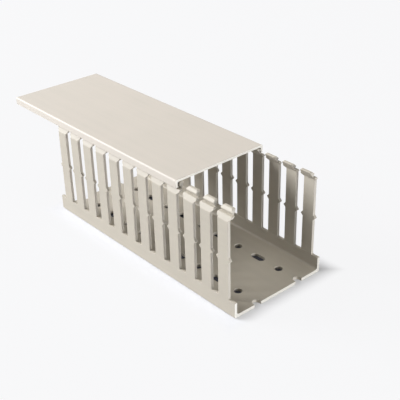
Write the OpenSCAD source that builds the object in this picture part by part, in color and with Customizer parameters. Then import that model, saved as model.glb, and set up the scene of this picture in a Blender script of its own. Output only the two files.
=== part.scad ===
// Slotted wiring duct with a cover that clips on and slides.
// The channel is one extruded section whose walls are punched into fingers. The cover is a
// second extrusion that hooks under the noses of the finger heads and slides along them.
// X runs along the duct, Y across it and Z up. The origin is the centre of the underside.

/* [Duct] */
// Length of the cut piece, of the channel and of its cover
duct_len = 154; // [60:1:400]
// Width over the outer faces of the two walls
duct_w = 62; // [44:1:120]
// Height of the finger tips above the underside
tip_z = 59; // [45:0.1:110]
// Thickness of the walls and fingers
wall_t = 1.7; // [1.2:0.1:2]
// Thickness of the floor
floor_t = 1.8; // [1.2:0.1:3]
// Radius of the fillet between the floor and a wall
inner_r = 1.2; // [0.4:0.1:3]
// Radius of the rounded lower edges outside
outer_r = 0.8; // [0.3:0.1:1.5]

/* [Fingers] */
// Distance from one slot to the next
slot_pitch = 12.5; // [11:0.5:20]
// Width of a slot
slot_w = 5.3; // [4.6:0.1:6]
// Height of the solid strip that is left below the slots
strip_h = 9; // [5:0.5:20]
// Corner radius at the foot of a slot
slot_r = 0.7; // [0.2:0.1:2]
// Height of the break-off score above the foot of the slots
score_up = 0.65; // [0.4:0.05:2]
// Depth of the score, cut into the inner face
score_d = 0.3; // [0.1:0.05:0.6]
// Height of the score's mouth
score_h = 0.5; // [0.3:0.1:1]
// Height of the wire-holding nubs above the underside
nub_z = 31.6; // [25:0.1:35]
// How far a nub reaches into its slot
nub_reach = 1.4; // [0.6:0.1:1.8]
// Height of a nub where it leaves its finger
nub_h = 3; // [1.5:0.1:5]
// Radius of a nub's tip
nub_r = 0.3; // [0.1:0.05:0.5]

/* [Bars under the heads] */
// Gap between the wide bars of neighbouring fingers
bar_gap = 2.6; // [1.2:0.1:3.4]
// Height of a bar's upright end
bar_end_h = 1.2; // [0.8:0.1:2]
// Rise of the slope from a finger's edge to the end of its bar
bar_flare_h = 1.3; // [0.6:0.1:3]
// Radius of the corners at the ends of a bar
bar_r = 0.5; // [0.1:0.05:0.5]
// Height of the bevel that leads from the wall's outer face in to the ledge
bevel_h = 2.9; // [0.6:0.1:3]
// Distance from the outer face in to the edge of the ledge that the cover stops above
ledge_in = 1.5; // [1:0.1:1.8]

/* [Finger heads] */
// Gap between neighbouring heads above the bars
head_gap = 4.8; // [3.6:0.1:5.6]
// Radius of a head's top corners
head_r = 1.7; // [0.8:0.1:2.4]
// Height from the ledge to the finger tip
head_h = 3.1; // [2.6:0.1:4]
// Distance from the outer face in to the tip of the nose
nose_in = 2.3; // [2.1:0.05:2.5]
// Height of the nose's blunt tip
nose_h = 0.5; // [0.3:0.05:0.6]
// Depth of the groove under the nose
groove_d = 0.65; // [0.45:0.05:0.9]
// Height of the groove, from the ledge up to the nose
groove_h = 1.1; // [0.8:0.05:1.2]
// Thickness of the neck behind the groove
neck_t = 1; // [0.8:0.1:1.5]
// Distance below the ledge at which the inner face starts to lean in
bend_h = 2.2; // [1.6:0.1:3]
// Width of the slope on top of the nose, which spreads the cover's hooks
lead_w = 1.3; // [0.8:0.1:1.6]
// Width of the flat top of a head, across the duct
tip_w = 1.9; // [1.4:0.1:2.4]
// Radius of the head's lengthwise edges
edge_r = 0.3; // [0.1:0.05:0.4]

/* [Cover] */
// Thickness of the cover's top sheet
cover_t = 1.35; // [1:0.05:2]
// Thickness of the cover's skirts
skirt_t = 1.4; // [1.1:0.05:1.55]
// Distance from the wall's outer face in to the skirt's outer face
skirt_in = 0.6; // [0.45:0.05:0.8]
// Play between the cover and the finger tips, and under the skirt
cover_play = 0.15; // [0.1:0.05:0.3]
// How far the snap hook reaches in from the skirt
hook_reach = 0.65; // [0.35:0.05:0.8]
// Radius of the cover's long top edges
cover_r = 1; // [0.4:0.1:1.6]
// Place of the cover along the duct, from its closed place
cover_slide = -43; // [-140:1:140]

/* [Floor holes] */
// Distance from a round hole to the next round hole in its row
hole_pitch = 31.25; // [25:0.25:60]
// Distance between the two rows of holes
row_gap = 30; // [15:1:34]
// Diameter of the round holes
hole_d = 4.5; // [3:0.1:6]
// Width of the oblong holes
oblong_w = 4.5; // [3:0.1:6]
// End-to-end length of the oblong holes
oblong_len = 9; // [7:0.1:14]

/* [Hidden] */
duct_color = "#cfcabd";
cover_color = "#dcd3c8";
cut = 1;                                   // how far a cutter runs past what it cuts
corner_steps = 3;                          // straight steps in one rounded corner
catch_rise = 0.5;                          // slope of the faces that catch each other
hole_fn = 48;

half_w = duct_w / 2;
half_len = duct_len / 2;
fingers = floor(duct_len / slot_pitch);
slot_end_x = fingers * slot_pitch / 2;     // middle of the open slot past the last finger
score_z = strip_h + score_up;

ledge_z = tip_z - head_h;
bevel_z = ledge_z - bevel_h;
bend_z = ledge_z - bend_h;
bar_end_z = ledge_z - bar_end_h;
flare_z = bar_end_z - bar_flare_h;
neck_in = nose_in + groove_d;
neck_back = neck_in + neck_t;
tip_in = nose_in + lead_w;
back_in = tip_in + tip_w;
knee_z = ledge_z + groove_h / 2;           // the neck ends and the head's back leans in
nose_z = ledge_z + groove_h;               // where the nose leaves the neck
nose_low_z = nose_z + groove_d * catch_rise;
shoulder = 0.2;                            // keeps a slot's cutter off the flat tips
bar_corner_r = min(bar_r, (head_gap - bar_gap) / 5);
small_r = edge_r / 2;                      // on the nose and on the hook

cover_under_z = tip_z + cover_play;
cover_top_z = cover_under_z + cover_t;
skirt_z = ledge_z + cover_play;
skirt_inner = skirt_in + skirt_t;
hook_in = skirt_inner + hook_reach;
hook_top_z = nose_z - cover_play;
hook_low_z = hook_top_z - hook_reach * catch_rise;
crease = 0.5;                              // chamfer between the skirt and the top sheet

hole_step = hole_pitch / 2;                // round and oblong holes take turns
hole_count = floor((half_len + oblong_len / 2 - cut) / hole_step);

// Unit vector along v
function unit(v) = v / norm(v);

// Place of a corner that is given as [across, up, radius]
function place(corner) = [corner[0], corner[1]];

// Unit vector from one corner of a closed outline to another, counted from the first one
function heading(corners, i, step) =
    unit(place(corners[(i + step + len(corners)) % len(corners)]) - place(corners[i]));

// Arc that rounds the corner between two headings
function fillet(corner, last, next) =
    let (
        half = acos(last * next) / 2,
        inward = unit(last + next),
        centre = place(corner) + inward * corner[2] / sin(half),
        turn = sign(cross(last, next))
    )
    [for (s = [0:corner_steps])
        let (a = turn * (90 - half) * (1 - 2 * s / corner_steps))
            centre - corner[2] * [
                inward[0] * cos(a) - inward[1] * sin(a),
                inward[0] * sin(a) + inward[1] * cos(a)
            ]];

// Closed outline whose corners are rounded, each by its own radius
function rounded(corners) =
    [for (i = [0:len(corners) - 1])
        each corners[i][2] == 0
            ? [place(corners[i])]
            : fillet(corners[i], heading(corners, i, -1), heading(corners, i, 1))];

// Closed outline made of one half and the same half on the other side, in reverse order
function both_halves(corners) =
    concat(corners, [for (i = [len(corners) - 1:-1:0]) let (c = corners[i]) [-c[0], c[1], c[2]]]);

// Left half of a section, with the distance in from the wall's outer face as first number
function from_wall(corners) = [for (c = corners) [c[0] - half_w, c[1], c[2]]];

// Section of the channel, from the lower edge up the outer face, round the head and back
channel_half = from_wall([
    [0, 0, outer_r],
    [0, bevel_z, 0],
    [ledge_in, ledge_z, edge_r],
    [neck_in, ledge_z, 0],
    [neck_in, nose_z, 0],
    [nose_in, nose_low_z, 0],
    [nose_in, nose_low_z + nose_h, small_r],
    [tip_in, tip_z, 0],
    [back_in, tip_z, edge_r],
    [neck_back, knee_z, 0],
    [wall_t, bend_z, 0],
    [wall_t, score_z + score_h / 2, 0],
    [wall_t - score_d, score_z, 0],
    [wall_t, score_z - score_h / 2, 0],
    [wall_t, floor_t, inner_r]
]);

// Section of the cover, from the top sheet down the skirt, round the snap hook and back
cover_half = from_wall([
    [skirt_in, cover_top_z, cover_r],
    [skirt_in, skirt_z, edge_r],
    [hook_in, skirt_z, small_r],
    [hook_in, hook_low_z, 0],
    [skirt_inner, hook_top_z, 0],
    [skirt_inner, cover_under_z - crease, 0],
    [skirt_inner + crease, cover_under_z, 0]
]);

// Half of a slot's outline, from its foot up past the finger tips
slot_half = [
    [slot_w / 2, strip_h, slot_r],
    [slot_w / 2, nub_z - nub_h / 2, 0],
    [slot_w / 2 - nub_reach, nub_z, nub_r],
    [slot_w / 2, nub_z + nub_h / 2, 0],
    [slot_w / 2, flare_z, 0],
    [bar_gap / 2, bar_end_z, bar_corner_r],
    [bar_gap / 2, ledge_z, bar_corner_r],
    [head_gap / 2, ledge_z, bar_corner_r],
    [head_gap / 2, tip_z + shoulder, head_r],
    [head_gap / 2 + head_r + cut, tip_z + shoulder, 0],
    [head_gap / 2 + head_r + cut, tip_z + cut, 0]
];

// Extrudes a section drawn in Y and Z along the duct
module along_duct() {
    translate([-half_len, 0, 0])
        rotate([90, 0, 90])
            linear_extrude(duct_len)
                children();
}

// Punches a shape drawn in X and Z through both walls
module through_walls() {
    translate([0, half_w + cut, 0])
        rotate([90, 0, 0])
            linear_extrude(duct_w + 2 * cut)
                children();
}

// Slot between two fingers
module slot() {
    through_walls()
        polygon(rounded(both_halves(slot_half)));
}

// Past the last finger everything above the strip is gone
module end_slot() {
    slot();
    through_walls()
        translate([0, strip_h])
            square([half_len - slot_end_x + cut, tip_z + cut - strip_h]);
}

module round_hole() {
    translate([0, 0, -cut])
        cylinder(d = hole_d, h = floor_t + 2 * cut, $fn = hole_fn);
}

module oblong_hole() {
    reach = (oblong_len - oblong_w) / 2;
    translate([0, 0, -cut])
        linear_extrude(floor_t + 2 * cut) {
            square([2 * reach, oblong_w], center = true);
            for (side = [-1, 1])
                translate([side * reach, 0])
                    circle(d = oblong_w, $fn = hole_fn);
        }
}

// Two rows of fixing holes, round and oblong in turn, cut through by the ends
module floor_holes() {
    for (row = [-1, 1])
        for (i = [-hole_count:hole_count])
            translate([i * hole_step, row * row_gap / 2, 0])
                if (i % 2 == 0) round_hole();
                else oblong_hole();
}

module channel() {
    color(duct_color)
        difference() {
            along_duct()
                polygon(rounded(both_halves(channel_half)));
            for (i = [1:fingers - 1])
                translate([i * slot_pitch - slot_end_x, 0, 0])
                    slot();
            for (side = [0, 1])
                mirror([side, 0, 0])
                    translate([slot_end_x, 0, 0])
                        end_slot();
            floor_holes();
        }
}

module cover() {
    color(cover_color)
        translate([cover_slide, 0, 0])
            along_duct()
                polygon(rounded(both_halves(cover_half)));
}

channel();
cover();
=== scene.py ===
"""Slotted wiring duct with its clip-on cover, laid out on a pale table.

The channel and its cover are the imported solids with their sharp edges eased. Both are
extruded rigid PVC; the walls of the channel are punched and both pieces are sawn to
length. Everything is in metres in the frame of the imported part: X along the duct, Y
across it, Z up, and the origin at the centre of the channel's underside.
"""

import logging
import math
from dataclasses import dataclass, field
from enum import Enum
from typing import Any, Mapping, Sequence

import bmesh
import bpy
import numpy as np
from mathutils import Matrix, Vector

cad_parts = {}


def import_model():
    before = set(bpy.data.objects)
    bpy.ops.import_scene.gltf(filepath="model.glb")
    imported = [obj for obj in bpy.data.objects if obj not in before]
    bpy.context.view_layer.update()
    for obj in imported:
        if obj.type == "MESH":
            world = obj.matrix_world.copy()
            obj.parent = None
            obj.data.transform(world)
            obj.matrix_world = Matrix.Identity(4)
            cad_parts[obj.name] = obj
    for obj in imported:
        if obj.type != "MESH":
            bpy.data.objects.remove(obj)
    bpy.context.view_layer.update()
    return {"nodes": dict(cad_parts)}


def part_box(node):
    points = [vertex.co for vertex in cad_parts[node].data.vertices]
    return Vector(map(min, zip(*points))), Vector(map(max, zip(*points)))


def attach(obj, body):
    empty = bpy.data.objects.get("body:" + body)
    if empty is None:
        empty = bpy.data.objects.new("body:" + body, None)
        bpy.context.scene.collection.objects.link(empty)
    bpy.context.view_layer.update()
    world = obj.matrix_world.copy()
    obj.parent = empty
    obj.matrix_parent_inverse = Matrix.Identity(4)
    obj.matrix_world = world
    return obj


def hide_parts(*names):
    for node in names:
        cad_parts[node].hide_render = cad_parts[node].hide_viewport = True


LOG = logging.getLogger("wiring_duct")
MM = 0.001
JOIN_MM = 0.002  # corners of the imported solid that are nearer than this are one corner
FLAT_DEG = 0.5  # neighbouring faces that turn by less than this are one face
FLAT_WEIGHT = 90  # how strongly the large faces keep their own normal


def linear(hex_colour: str) -> tuple[float, float, float, float]:
    """Turns an sRGB hex colour into linear light.

    Args:
        hex_colour: Six hex digits, with or without the leading hash.

    Returns:
        Red, green and blue in linear light, and an alpha of 1.
    """
    digits = hex_colour.lstrip("#")
    encoded = np.array([int(digits[i : i + 2], 16) for i in (0, 2, 4)]) / 255
    light = np.where(encoded <= 0.04045, encoded / 12.92, ((encoded + 0.055) / 1.055) ** 2.4)
    return (*light.tolist(), 1.0)


def per_mm(millimetres: float) -> float:
    """Pattern scale on Object coordinates, in metres, for one feature per that many mm."""
    return 1 / (millimetres * MM)


def add_node(
    tree: bpy.types.NodeTree,
    kind: str,
    settings: Mapping[str, Any] | None = None,
    inputs: Mapping[Any, Any] | None = None,
) -> bpy.types.Node:
    """Adds one node with its settings and links.

    Args:
        tree: Node tree that gets the node.
        kind: Blender's type name of the node, without the ShaderNode in front.
        settings: Values of the node's own properties.
        inputs: Input name or number to a plain value, or to the output socket that
            feeds it.

    Returns:
        The new node.
    """
    node = tree.nodes.new("ShaderNode" + kind)
    for name, value in (settings or {}).items():
        setattr(node, name, value)
    for name, value in (inputs or {}).items():
        if isinstance(value, bpy.types.NodeSocket):
            tree.links.new(value, node.inputs[name])
        else:
            node.inputs[name].default_value = value
    return node


def plainly_seen(tree: bpy.types.NodeTree) -> bpy.types.NodeSocket:
    """Tells the rays that see a backdrop in its own plain colour.

    Args:
        tree: Node tree of the backdrop's material or of the world.

    Returns:
        1 for a ray from the camera, a mirror or glass, else 0.
    """
    rays = add_node(tree, "LightPath").outputs
    mirrored = add_node(
        tree,
        "Math",
        {"operation": "MAXIMUM"},
        {0: rays["Is Glossy Ray"], 1: rays["Is Transmission Ray"]},
    ).outputs[0]
    return add_node(
        tree, "Math", {"operation": "MAXIMUM"}, {0: rays["Is Camera Ray"], 1: mirrored}
    ).outputs[0]


class Axis(Enum):
    """Direction of the fine lines that a tool leaves in a face."""

    ALONG = 0
    UPRIGHT = 2


@dataclass(frozen=True)
class ExtrudedPvc:
    """Rigid PVC, extruded through a die, then punched and sawn.

    The die leaves a satin skin with faint draw lines along the length. The punch leaves the
    flanks of slots and holes a touch paler, and the saw leaves both ends chalky and nearly
    white. Both pale colours are partly that real whitening and partly painted highlight, set
    light to stand in for the end lamp's light on the faces that face along the duct. To the
    eye it is a soft grey-beige plastic with a broad, weak sheen and crisp pale ends.

    Attributes:
        name: Name of the material.
        skin: Colour of the extruded skin, as sRGB hex.
        mottle: Colour that the skin drifts to in broad soft clouds.
        punched: Colour of the punched flanks, partly their own paler colour and partly
            painted highlight.
        sawn: Colour of the sawn ends, partly their own chalky colour and partly painted
            highlight.
        roughness: Roughness of the skin.
        line_mm: Spacing of the draw lines. Real ones are about 0.2 mm apart, and they are
            drawn coarser so that they show.
        cloud_mm: Size of the soft clouds in the colour.
        grain_mm: Size of the fine orange peel on the skin.
        end_mm: Depth from an end within which a cut face is a sawn one.
        facing_end: Share of the normal along the duct at which a face starts to count as
            cut, and at which it is wholly cut.
        dulling: How much rougher a cut face is than the skin.
        streak_mm: Spacing of the faint streaks in the colour.
        mark_mm: Spacing of the upright marks on the cut faces.
        drift: Strengths of cloud and streak together between which the colour drifts.
        line_relief_mm: Height of the draw lines and of the marks.
        grain_relief_mm: Height of the orange peel.
        ior: Refractive index of rigid PVC.
    """

    name: str
    skin: str
    mottle: str
    punched: str
    sawn: str
    roughness: float = 0.6
    line_mm: float = 0.8
    cloud_mm: float = 28.0
    grain_mm: float = 0.5
    end_mm: float = 0.4
    facing_end: tuple[float, float] = (0.55, 0.85)
    dulling: float = 0.22
    streak_mm: float = 3.2
    mark_mm: float = 0.56
    drift: tuple[float, float] = (0.12, 0.4)
    line_relief_mm: float = 0.02
    grain_relief_mm: float = 0.01
    ior: float = 1.53

    def material(self, ends: tuple[float, float]) -> bpy.types.Material:
        """Builds the material.

        Args:
            ends: Where the piece starts and ends along the duct, in metres.

        Returns:
            The finished material, all on Object coordinates and the face's own normal.
        """
        made = bpy.data.materials.new(self.name)
        made.use_nodes = True
        tree = made.node_tree
        tree.nodes.clear()
        place = add_node(tree, "TexCoord").outputs["Object"]
        facing = add_node(tree, "SeparateXYZ", inputs={0: self._normal(tree)})
        endward = add_node(tree, "Math", {"operation": "ABSOLUTE"}, {0: facing.outputs["X"]})
        is_cut = add_node(
            tree,
            "MapRange",
            {"interpolation_type": "SMOOTHSTEP"},
            {
                "Value": endward.outputs[0],
                "From Min": self.facing_end[0],
                "From Max": self.facing_end[1],
            },
        ).outputs["Result"]
        colour = self._colour(tree, place, is_cut, self._near_end(tree, place, ends))
        relief = self._relief(tree, place, is_cut)
        rough = add_node(
            tree,
            "MapRange",
            inputs={
                "Value": is_cut,
                "To Min": self.roughness,
                "To Max": self.roughness + self.dulling,
            },
        ).outputs["Result"]
        shader = add_node(
            tree,
            "BsdfPrincipled",
            inputs={
                "Base Color": colour,
                "Roughness": rough,
                "IOR": self.ior,
                "Normal": relief,
            },
        )
        add_node(tree, "OutputMaterial", inputs={"Surface": shader.outputs[0]})
        return made

    def _normal(self, tree: bpy.types.NodeTree) -> bpy.types.NodeSocket:
        """Face normal in the piece's own axes, before any relief."""
        return add_node(tree, "TexCoord").outputs["Normal"]

    def _near_end(
        self,
        tree: bpy.types.NodeTree,
        place: bpy.types.NodeSocket,
        ends: tuple[float, float],
    ) -> bpy.types.NodeSocket:
        """Tells the ends of the piece, by the distance from its middle along the duct.

        Args:
            tree: Node tree of the material.
            place: Object coordinates.
            ends: Where the piece starts and ends, in metres.

        Returns:
            1 at the ends, else 0.
        """
        start, stop = ends
        along = add_node(tree, "SeparateXYZ", inputs={0: place}).outputs["X"]
        offset = add_node(
            tree, "Math", {"operation": "SUBTRACT"}, {0: along, 1: (start + stop) / 2}
        ).outputs[0]
        away = add_node(tree, "Math", {"operation": "ABSOLUTE"}, {0: offset}).outputs[0]
        edge = (stop - start) / 2 - self.end_mm * MM
        return add_node(
            tree,
            "MapRange",
            inputs={
                "Value": away,
                "From Min": edge,
                "From Max": edge + self.end_mm / 4 * MM,
            },
        ).outputs["Result"]

    def _stretched(
        self,
        tree: bpy.types.NodeTree,
        place: bpy.types.NodeSocket,
        across_mm: float,
        along: Axis,
        stretch: float,
    ) -> bpy.types.NodeSocket:
        """Noise whose cells are drawn out into lines.

        Args:
            tree: Node tree of the material.
            place: Object coordinates.
            across_mm: Spacing of the lines.
            along: Direction that the lines run in.
            stretch: Length of a line as a multiple of the spacing.

        Returns:
            The noise, from 0 to 1.
        """
        scale = [per_mm(across_mm)] * 3
        scale[along.value] /= stretch
        mapped = add_node(
            tree, "Mapping", inputs={"Vector": place, "Scale": tuple(scale)}
        ).outputs["Vector"]
        return add_node(
            tree, "TexNoise", inputs={"Vector": mapped, "Scale": 1.0, "Detail": 3.0}
        ).outputs[0]

    def _colour(
        self,
        tree: bpy.types.NodeTree,
        place: bpy.types.NodeSocket,
        is_cut: bpy.types.NodeSocket,
        near_end: bpy.types.NodeSocket,
    ) -> bpy.types.NodeSocket:
        """Skin colour with its clouds and faint streaks, and the paler cut faces, whose
        paleness is partly painted highlight.

        Args:
            tree: Node tree of the material.
            place: Object coordinates.
            is_cut: 1 on the punched and sawn faces, else 0.
            near_end: 1 at the ends of the piece, else 0.

        Returns:
            The colour.
        """
        cloud = add_node(
            tree,
            "TexNoise",
            inputs={"Vector": place, "Scale": per_mm(self.cloud_mm), "Detail": 2.0},
        ).outputs[0]
        streak = self._stretched(tree, place, self.streak_mm, Axis.ALONG, 60)
        blend = add_node(
            tree, "Math", {"operation": "MULTIPLY"}, {0: cloud, 1: streak}
        ).outputs[0]
        drift = add_node(
            tree,
            "MapRange",
            inputs={
                "Value": blend,
                "From Min": self.drift[0],
                "From Max": self.drift[1],
            },
        ).outputs["Result"]
        skin = add_node(
            tree,
            "Mix",
            {"data_type": "RGBA"},
            {0: drift, 6: linear(self.skin), 7: linear(self.mottle)},
        ).outputs[2]
        # Cut faces: their own paler colour and partly painted highlight, standing in for the
        # light from the duct's open end.
        cut_colour_with_painted_highlight = add_node(
            tree,
            "Mix",
            {"data_type": "RGBA"},
            {0: near_end, 6: linear(self.punched), 7: linear(self.sawn)},
        ).outputs[2]
        return add_node(
            tree, "Mix", {"data_type": "RGBA"}, {0: is_cut, 6: skin, 7: cut_colour_with_painted_highlight}
        ).outputs[2]

    def _relief(
        self,
        tree: bpy.types.NodeTree,
        place: bpy.types.NodeSocket,
        is_cut: bpy.types.NodeSocket,
    ) -> bpy.types.NodeSocket:
        """Draw lines and orange peel on the skin, upright marks on the cut faces.

        Args:
            tree: Node tree of the material.
            place: Object coordinates.
            is_cut: 1 on the punched and sawn faces, else 0.

        Returns:
            The bumped normal.
        """
        lines = self._stretched(tree, place, self.line_mm, Axis.ALONG, 120)
        marks = self._stretched(tree, place, self.mark_mm, Axis.UPRIGHT, 12)
        height = add_node(
            tree, "Mix", {"data_type": "FLOAT"}, {0: is_cut, 2: lines, 3: marks}
        ).outputs[0]
        coarse = add_node(
            tree,
            "Bump",
            inputs={
                "Height": height,
                "Strength": 0.3,
                "Distance": self.line_relief_mm * MM,
            },
        ).outputs[0]
        grain = add_node(
            tree,
            "TexNoise",
            inputs={"Vector": place, "Scale": per_mm(self.grain_mm), "Detail": 1.0},
        ).outputs[0]
        return add_node(
            tree,
            "Bump",
            inputs={
                "Height": grain,
                "Strength": 0.25,
                "Distance": self.grain_relief_mm * MM,
                "Normal": coarse,
            },
        ).outputs[0]


@dataclass(frozen=True)
class PaperSweep:
    """Matt white paper under the part.

    It shows nearly white to the camera and still takes the part's soft shadow. Under the
    duct's foot it is painted dark, a painted shade that stands in for the deep shade there
    and shows in the floor's holes.

    Attributes:
        name: Name of the material.
        paper: Colour of the paper.
        shown: Colour that the camera sees in the full light.
        shade: Painted shade: dark colour given to the paper under the duct, where no light
            gets in.
        keep: Share of what the camera sees that is plain colour, with no shadow in it,
            once it is clear of the duct. Under the duct it is none.
        foot_mm: Half length and half width of the duct's foot.
        fade_mm: Distance from the foot over which the share grows. The lit paper is a little
            darker than the shown colour, so this band holds a painted soft shade round the
            foot as well as the real shadow that the paper takes there.
    """

    name: str = "matt_white_paper"
    # A little darker than the shown colour once lit, which paints a soft shade in the band
    # round the duct's foot.
    paper: str = "#D8D8D9"
    shown: str = "#F8F8F9"
    # Painted shade: the paper under the duct's foot is given this dark colour.
    shade: str = "#4E4E55"
    keep: float = 0.96
    foot_mm: tuple[float, float] = (73.0, 30.0)
    fade_mm: float = 14.0

    def material(self) -> bpy.types.Material:
        """Builds the material."""
        made = bpy.data.materials.new(self.name)
        made.use_nodes = True
        tree = made.node_tree
        tree.nodes.clear()
        outside = self._outside(tree)
        share = add_node(
            tree,
            "Math",
            {"operation": "MULTIPLY"},
            {
                0: plainly_seen(tree),
                1: self._grown(tree, outside, self.fade_mm, self.keep),
            },
        ).outputs[0]
        # Painted shade: the paper takes the dark shade colour under the duct's foot and its
        # own colour outside it.
        paper_with_painted_shade = add_node(
            tree,
            "Mix",
            {"data_type": "RGBA"},
            {
                0: self._grown(tree, outside, 0.0, 1.0),
                6: linear(self.shade),
                7: linear(self.paper),
            },
        ).outputs[2]
        paper = add_node(tree, "BsdfDiffuse", inputs={"Color": paper_with_painted_shade})
        plain = add_node(
            tree, "Emission", inputs={"Color": linear(self.shown), "Strength": 1.0}
        )
        mixed = add_node(
            tree, "MixShader", inputs={0: share, 1: paper.outputs[0], 2: plain.outputs[0]}
        )
        add_node(tree, "OutputMaterial", inputs={"Surface": mixed.outputs[0]})
        return made

    def _outside(self, tree: bpy.types.NodeTree) -> bpy.types.NodeSocket:
        """Distance from the duct's foot, below 0 under the duct.

        It is the larger of |x| - half length and |y| - half width.

        Args:
            tree: Node tree of the material.

        Returns:
            The distance, in metres.
        """
        place = add_node(tree, "TexCoord").outputs["Object"]
        mirrored = add_node(tree, "VectorMath", {"operation": "ABSOLUTE"}, {0: place})
        foot = tuple(size * MM for size in self.foot_mm) + (0.0,)
        past = add_node(
            tree, "VectorMath", {"operation": "SUBTRACT"}, {0: mirrored.outputs[0], 1: foot}
        )
        sides = add_node(tree, "SeparateXYZ", inputs={0: past.outputs[0]})
        return add_node(
            tree,
            "Math",
            {"operation": "MAXIMUM"},
            {0: sides.outputs["X"], 1: sides.outputs["Y"]},
        ).outputs[0]

    def _grown(
        self,
        tree: bpy.types.NodeTree,
        outside: bpy.types.NodeSocket,
        end_mm: float,
        most: float,
    ) -> bpy.types.NodeSocket:
        """Grows smoothly from none at the duct's foot.

        Args:
            tree: Node tree of the material.
            outside: Distance from the duct's foot.
            end_mm: Distance at which it is fully grown.
            most: What it grows to.

        Returns:
            The grown value.
        """
        return add_node(
            tree,
            "MapRange",
            {"interpolation_type": "SMOOTHSTEP"},
            {
                "Value": outside,
                "From Min": -1 * MM,
                "From Max": end_mm * MM,
                "To Max": most,
            },
        ).outputs["Result"]


def eased_copy(
    node: bpy.types.Object,
    name: str,
    ease_mm: float,
    angle_deg: float,
) -> bpy.types.Object:
    """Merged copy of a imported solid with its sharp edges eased.

    The copy's loose triangles are joined at their corners, the flat ones are made into
    whole faces again, and every edge sharper than the angle gets a small round.

    Args:
        node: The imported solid.
        name: Name of the copy.
        ease_mm: Radius of the round, in mm.
        angle_deg: Edges that turn by more than this are rounded.

    Returns:
        The copy, at the origin.
    """
    work = bmesh.new()
    work.from_mesh(node.data)
    bmesh.ops.remove_doubles(work, verts=work.verts, dist=JOIN_MM * MM)
    bmesh.ops.dissolve_limit(
        work, angle_limit=math.radians(FLAT_DEG), verts=work.verts, edges=work.edges
    )
    mesh = bpy.data.meshes.new(name)
    work.to_mesh(mesh)
    work.free()
    mesh.shade_smooth()
    piece = bpy.data.objects.new(name, mesh)
    bpy.context.scene.collection.objects.link(piece)
    ease = piece.modifiers.new("eased_edges", "BEVEL")
    ease.width = ease_mm * MM
    ease.segments = 2
    ease.limit_method = "ANGLE"
    ease.angle_limit = math.radians(angle_deg)
    ease.use_clamp_overlap = False
    ease.miter_outer = "MITER_ARC"
    flat = piece.modifiers.new("flat_faces", "WEIGHTED_NORMAL")
    flat.mode = "FACE_AREA"
    flat.weight = FLAT_WEIGHT
    return piece


@dataclass
class Extrusion:
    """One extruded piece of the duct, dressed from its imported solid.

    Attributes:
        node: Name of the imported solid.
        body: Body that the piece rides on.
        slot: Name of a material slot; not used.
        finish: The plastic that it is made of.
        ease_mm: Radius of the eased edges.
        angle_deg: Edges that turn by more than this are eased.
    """

    node: str
    body: str
    slot: str
    finish: ExtrudedPvc
    ease_mm: float = 0.12
    angle_deg: float = 40.0

    def build(self, nodes: Mapping[str, bpy.types.Object]) -> bpy.types.Object:
        """Makes the piece, gives it its plastic and sets it on its body.

        Args:
            nodes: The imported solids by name.

        Returns:
            The piece.
        """
        piece = eased_copy(
            nodes[self.node], self.node + "_extrusion", self.ease_mm, self.angle_deg
        )
        piece.data.materials.clear()
        low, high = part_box(self.node)
        piece.data.materials.append(self.finish.material((low[0], high[0])))
        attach(piece, self.body)
        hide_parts(self.node)
        LOG.info("%s: %d faces", piece.name, len(piece.data.polygons))
        return piece


@dataclass
class Camera:
    """Camera that looks down along the duct from above its near end.

    Attributes:
        place_mm: Where it stands, in mm.
        azimuth: Direction that it looks from, in degrees from +X towards -Y.
        elevation: Angle that it looks down by, in degrees.
        roll: Turn about its own axis, in degrees.
        lens: Focal length, in mm.
        sensor: Width of the sensor, in mm.
    """

    place_mm: tuple[float, float, float] = (314.68, -254.71, 247.3)
    azimuth: float = 40.526
    elevation: float = 28.872
    roll: float = -1.493
    lens: float = 73.9
    sensor: float = 36.0

    def build(self) -> bpy.types.Object:
        """Makes the camera the scene's camera."""
        az, el, roll = (math.radians(a) for a in (self.azimuth, self.elevation, self.roll))
        look = np.array(
            [-math.cos(az) * math.cos(el), math.sin(az) * math.cos(el), -math.sin(el)]
        )
        level = np.cross(look, [0.0, 0.0, 1.0])
        level /= np.linalg.norm(level)
        up = np.cross(level, look)
        right = level * math.cos(roll) + up * math.sin(roll)
        top = up * math.cos(roll) - level * math.sin(roll)
        turn = np.eye(4)
        turn[:3, :4] = np.column_stack([right, top, -look, np.array(self.place_mm) * MM])
        data = bpy.data.cameras.new("camera")
        data.lens = self.lens
        data.sensor_width = self.sensor
        data.clip_start = 0.01
        data.clip_end = 50.0
        camera = bpy.data.objects.new("camera", data)
        camera.matrix_world = Matrix(turn.tolist())
        bpy.context.scene.collection.objects.link(camera)
        bpy.context.scene.camera = camera
        return camera


@dataclass(frozen=True)
class SoftBox:
    """Square area lamp aimed at the duct.

    Attributes:
        name: Name of the lamp.
        towards: Direction from the duct to the lamp.
        distance: Distance from the duct, in metres.
        size: Side of the lamp, in metres.
        watts: Power.
        colour: Colour of its light, as sRGB hex.
    """

    name: str
    towards: tuple[float, float, float]
    distance: float
    size: float
    watts: float
    colour: str = "#FFFFFF"

    def build(self) -> bpy.types.Object:
        """Hangs the lamp and aims it at the middle of the duct."""
        data = bpy.data.lights.new(self.name, "AREA")
        data.energy = self.watts
        data.size = self.size
        data.color = linear(self.colour)[:3]
        lamp = bpy.data.objects.new(self.name, data)
        way = Vector(self.towards).normalized()
        lamp.location = way * self.distance
        lamp.rotation_euler = way.to_track_quat("Z", "Y").to_euler()
        bpy.context.scene.collection.objects.link(lamp)
        return lamp


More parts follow.
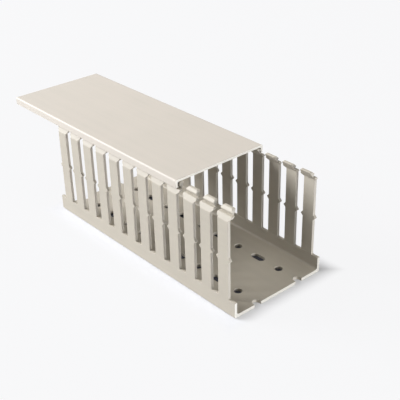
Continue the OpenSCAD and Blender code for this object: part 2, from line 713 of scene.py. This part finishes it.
@dataclass
class Studio:
    """Pale table, white surround and soft boxes.

    Attributes:
        lamps: The soft boxes.
        backdrop: Colour of the surround as the camera sees it.
        table: Side of the table, in metres.
        paper: Finish of the table.
    """

    lamps: Sequence[SoftBox] = (
        SoftBox("wall_box", (-0.73, -0.49, 0.47), 2.5, 1.2, 132.0, "#F5F8FF"),
        SoftBox("end_box", (1.0, 0.0, 0.09), 2.5, 0.7, 44.0),
        SoftBox("top_box", (0.01, 0.0, 1.0), 2.5, 1.6, 24.0),
    )
    backdrop: str = "#F8F8F9"
    table: float = 6.0
    paper: PaperSweep = field(default_factory=PaperSweep)

    def build(self) -> None:
        """Lights the scene and lays the table under the duct."""
        self._surround()
        self._table()
        for lamp in self.lamps:
            lamp.build()
        scene = bpy.context.scene
        scene.view_settings.view_transform = "Standard"

    def _surround(self) -> None:
        """White to the camera, in mirrors and through glass, and no light on the part."""
        world = bpy.data.worlds.new("studio_surround")
        world.use_nodes = True
        bpy.context.scene.world = world
        tree = world.node_tree
        tree.nodes.clear()
        shown = add_node(
            tree,
            "Background",
            inputs={"Color": linear(self.backdrop), "Strength": plainly_seen(tree)},
        )
        add_node(tree, "OutputWorld", inputs={"Surface": shown.outputs[0]})

    def _table(self) -> None:
        """Flat square sheet at the height of the duct's underside."""
        half = self.table / 2
        steps = np.array([-half, half])
        across, along = np.meshgrid(steps, steps, indexing="ij")
        corners = np.stack([across, along, np.zeros_like(across)], axis=-1).reshape(-1, 3)
        mesh = bpy.data.meshes.new("table")
        mesh.from_pydata(corners.tolist(), [], [(0, 2, 3, 1)])
        sheet = bpy.data.objects.new("table", mesh)
        bpy.context.scene.collection.objects.link(sheet)
        mesh.materials.append(self.paper.material())


def main() -> None:
    """Builds the duct, its cover and the studio, in that order."""
    logging.basicConfig(level=logging.INFO, format="%(name)s: %(message)s")
    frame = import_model()
    channel_pvc = ExtrudedPvc(
        "extruded_grey_pvc",
        skin="#B1A999",
        mottle="#ACA495",
        # Punched and sawn colours: partly the cut faces' own paler colour, partly painted
        # highlight.
        punched="#D2CCC1",
        sawn="#F2EFE7",
    )
    cover_pvc = ExtrudedPvc(
        "extruded_cover_pvc",
        skin="#C3BAAD",
        mottle="#BFB7AA",
        # Punched and sawn colours: partly the cut faces' own paler colour, partly painted
        # highlight.
        punched="#DAD3C8",
        sawn="#F2EFE7",
    )
    Extrusion("channel", "channel", "channel_pvc", channel_pvc).build(frame["nodes"])
    Extrusion("cover", "cover", "cover_pvc", cover_pvc).build(frame["nodes"])
    Studio().build()
    Camera().build()


if __name__ == "__main__":
    main()
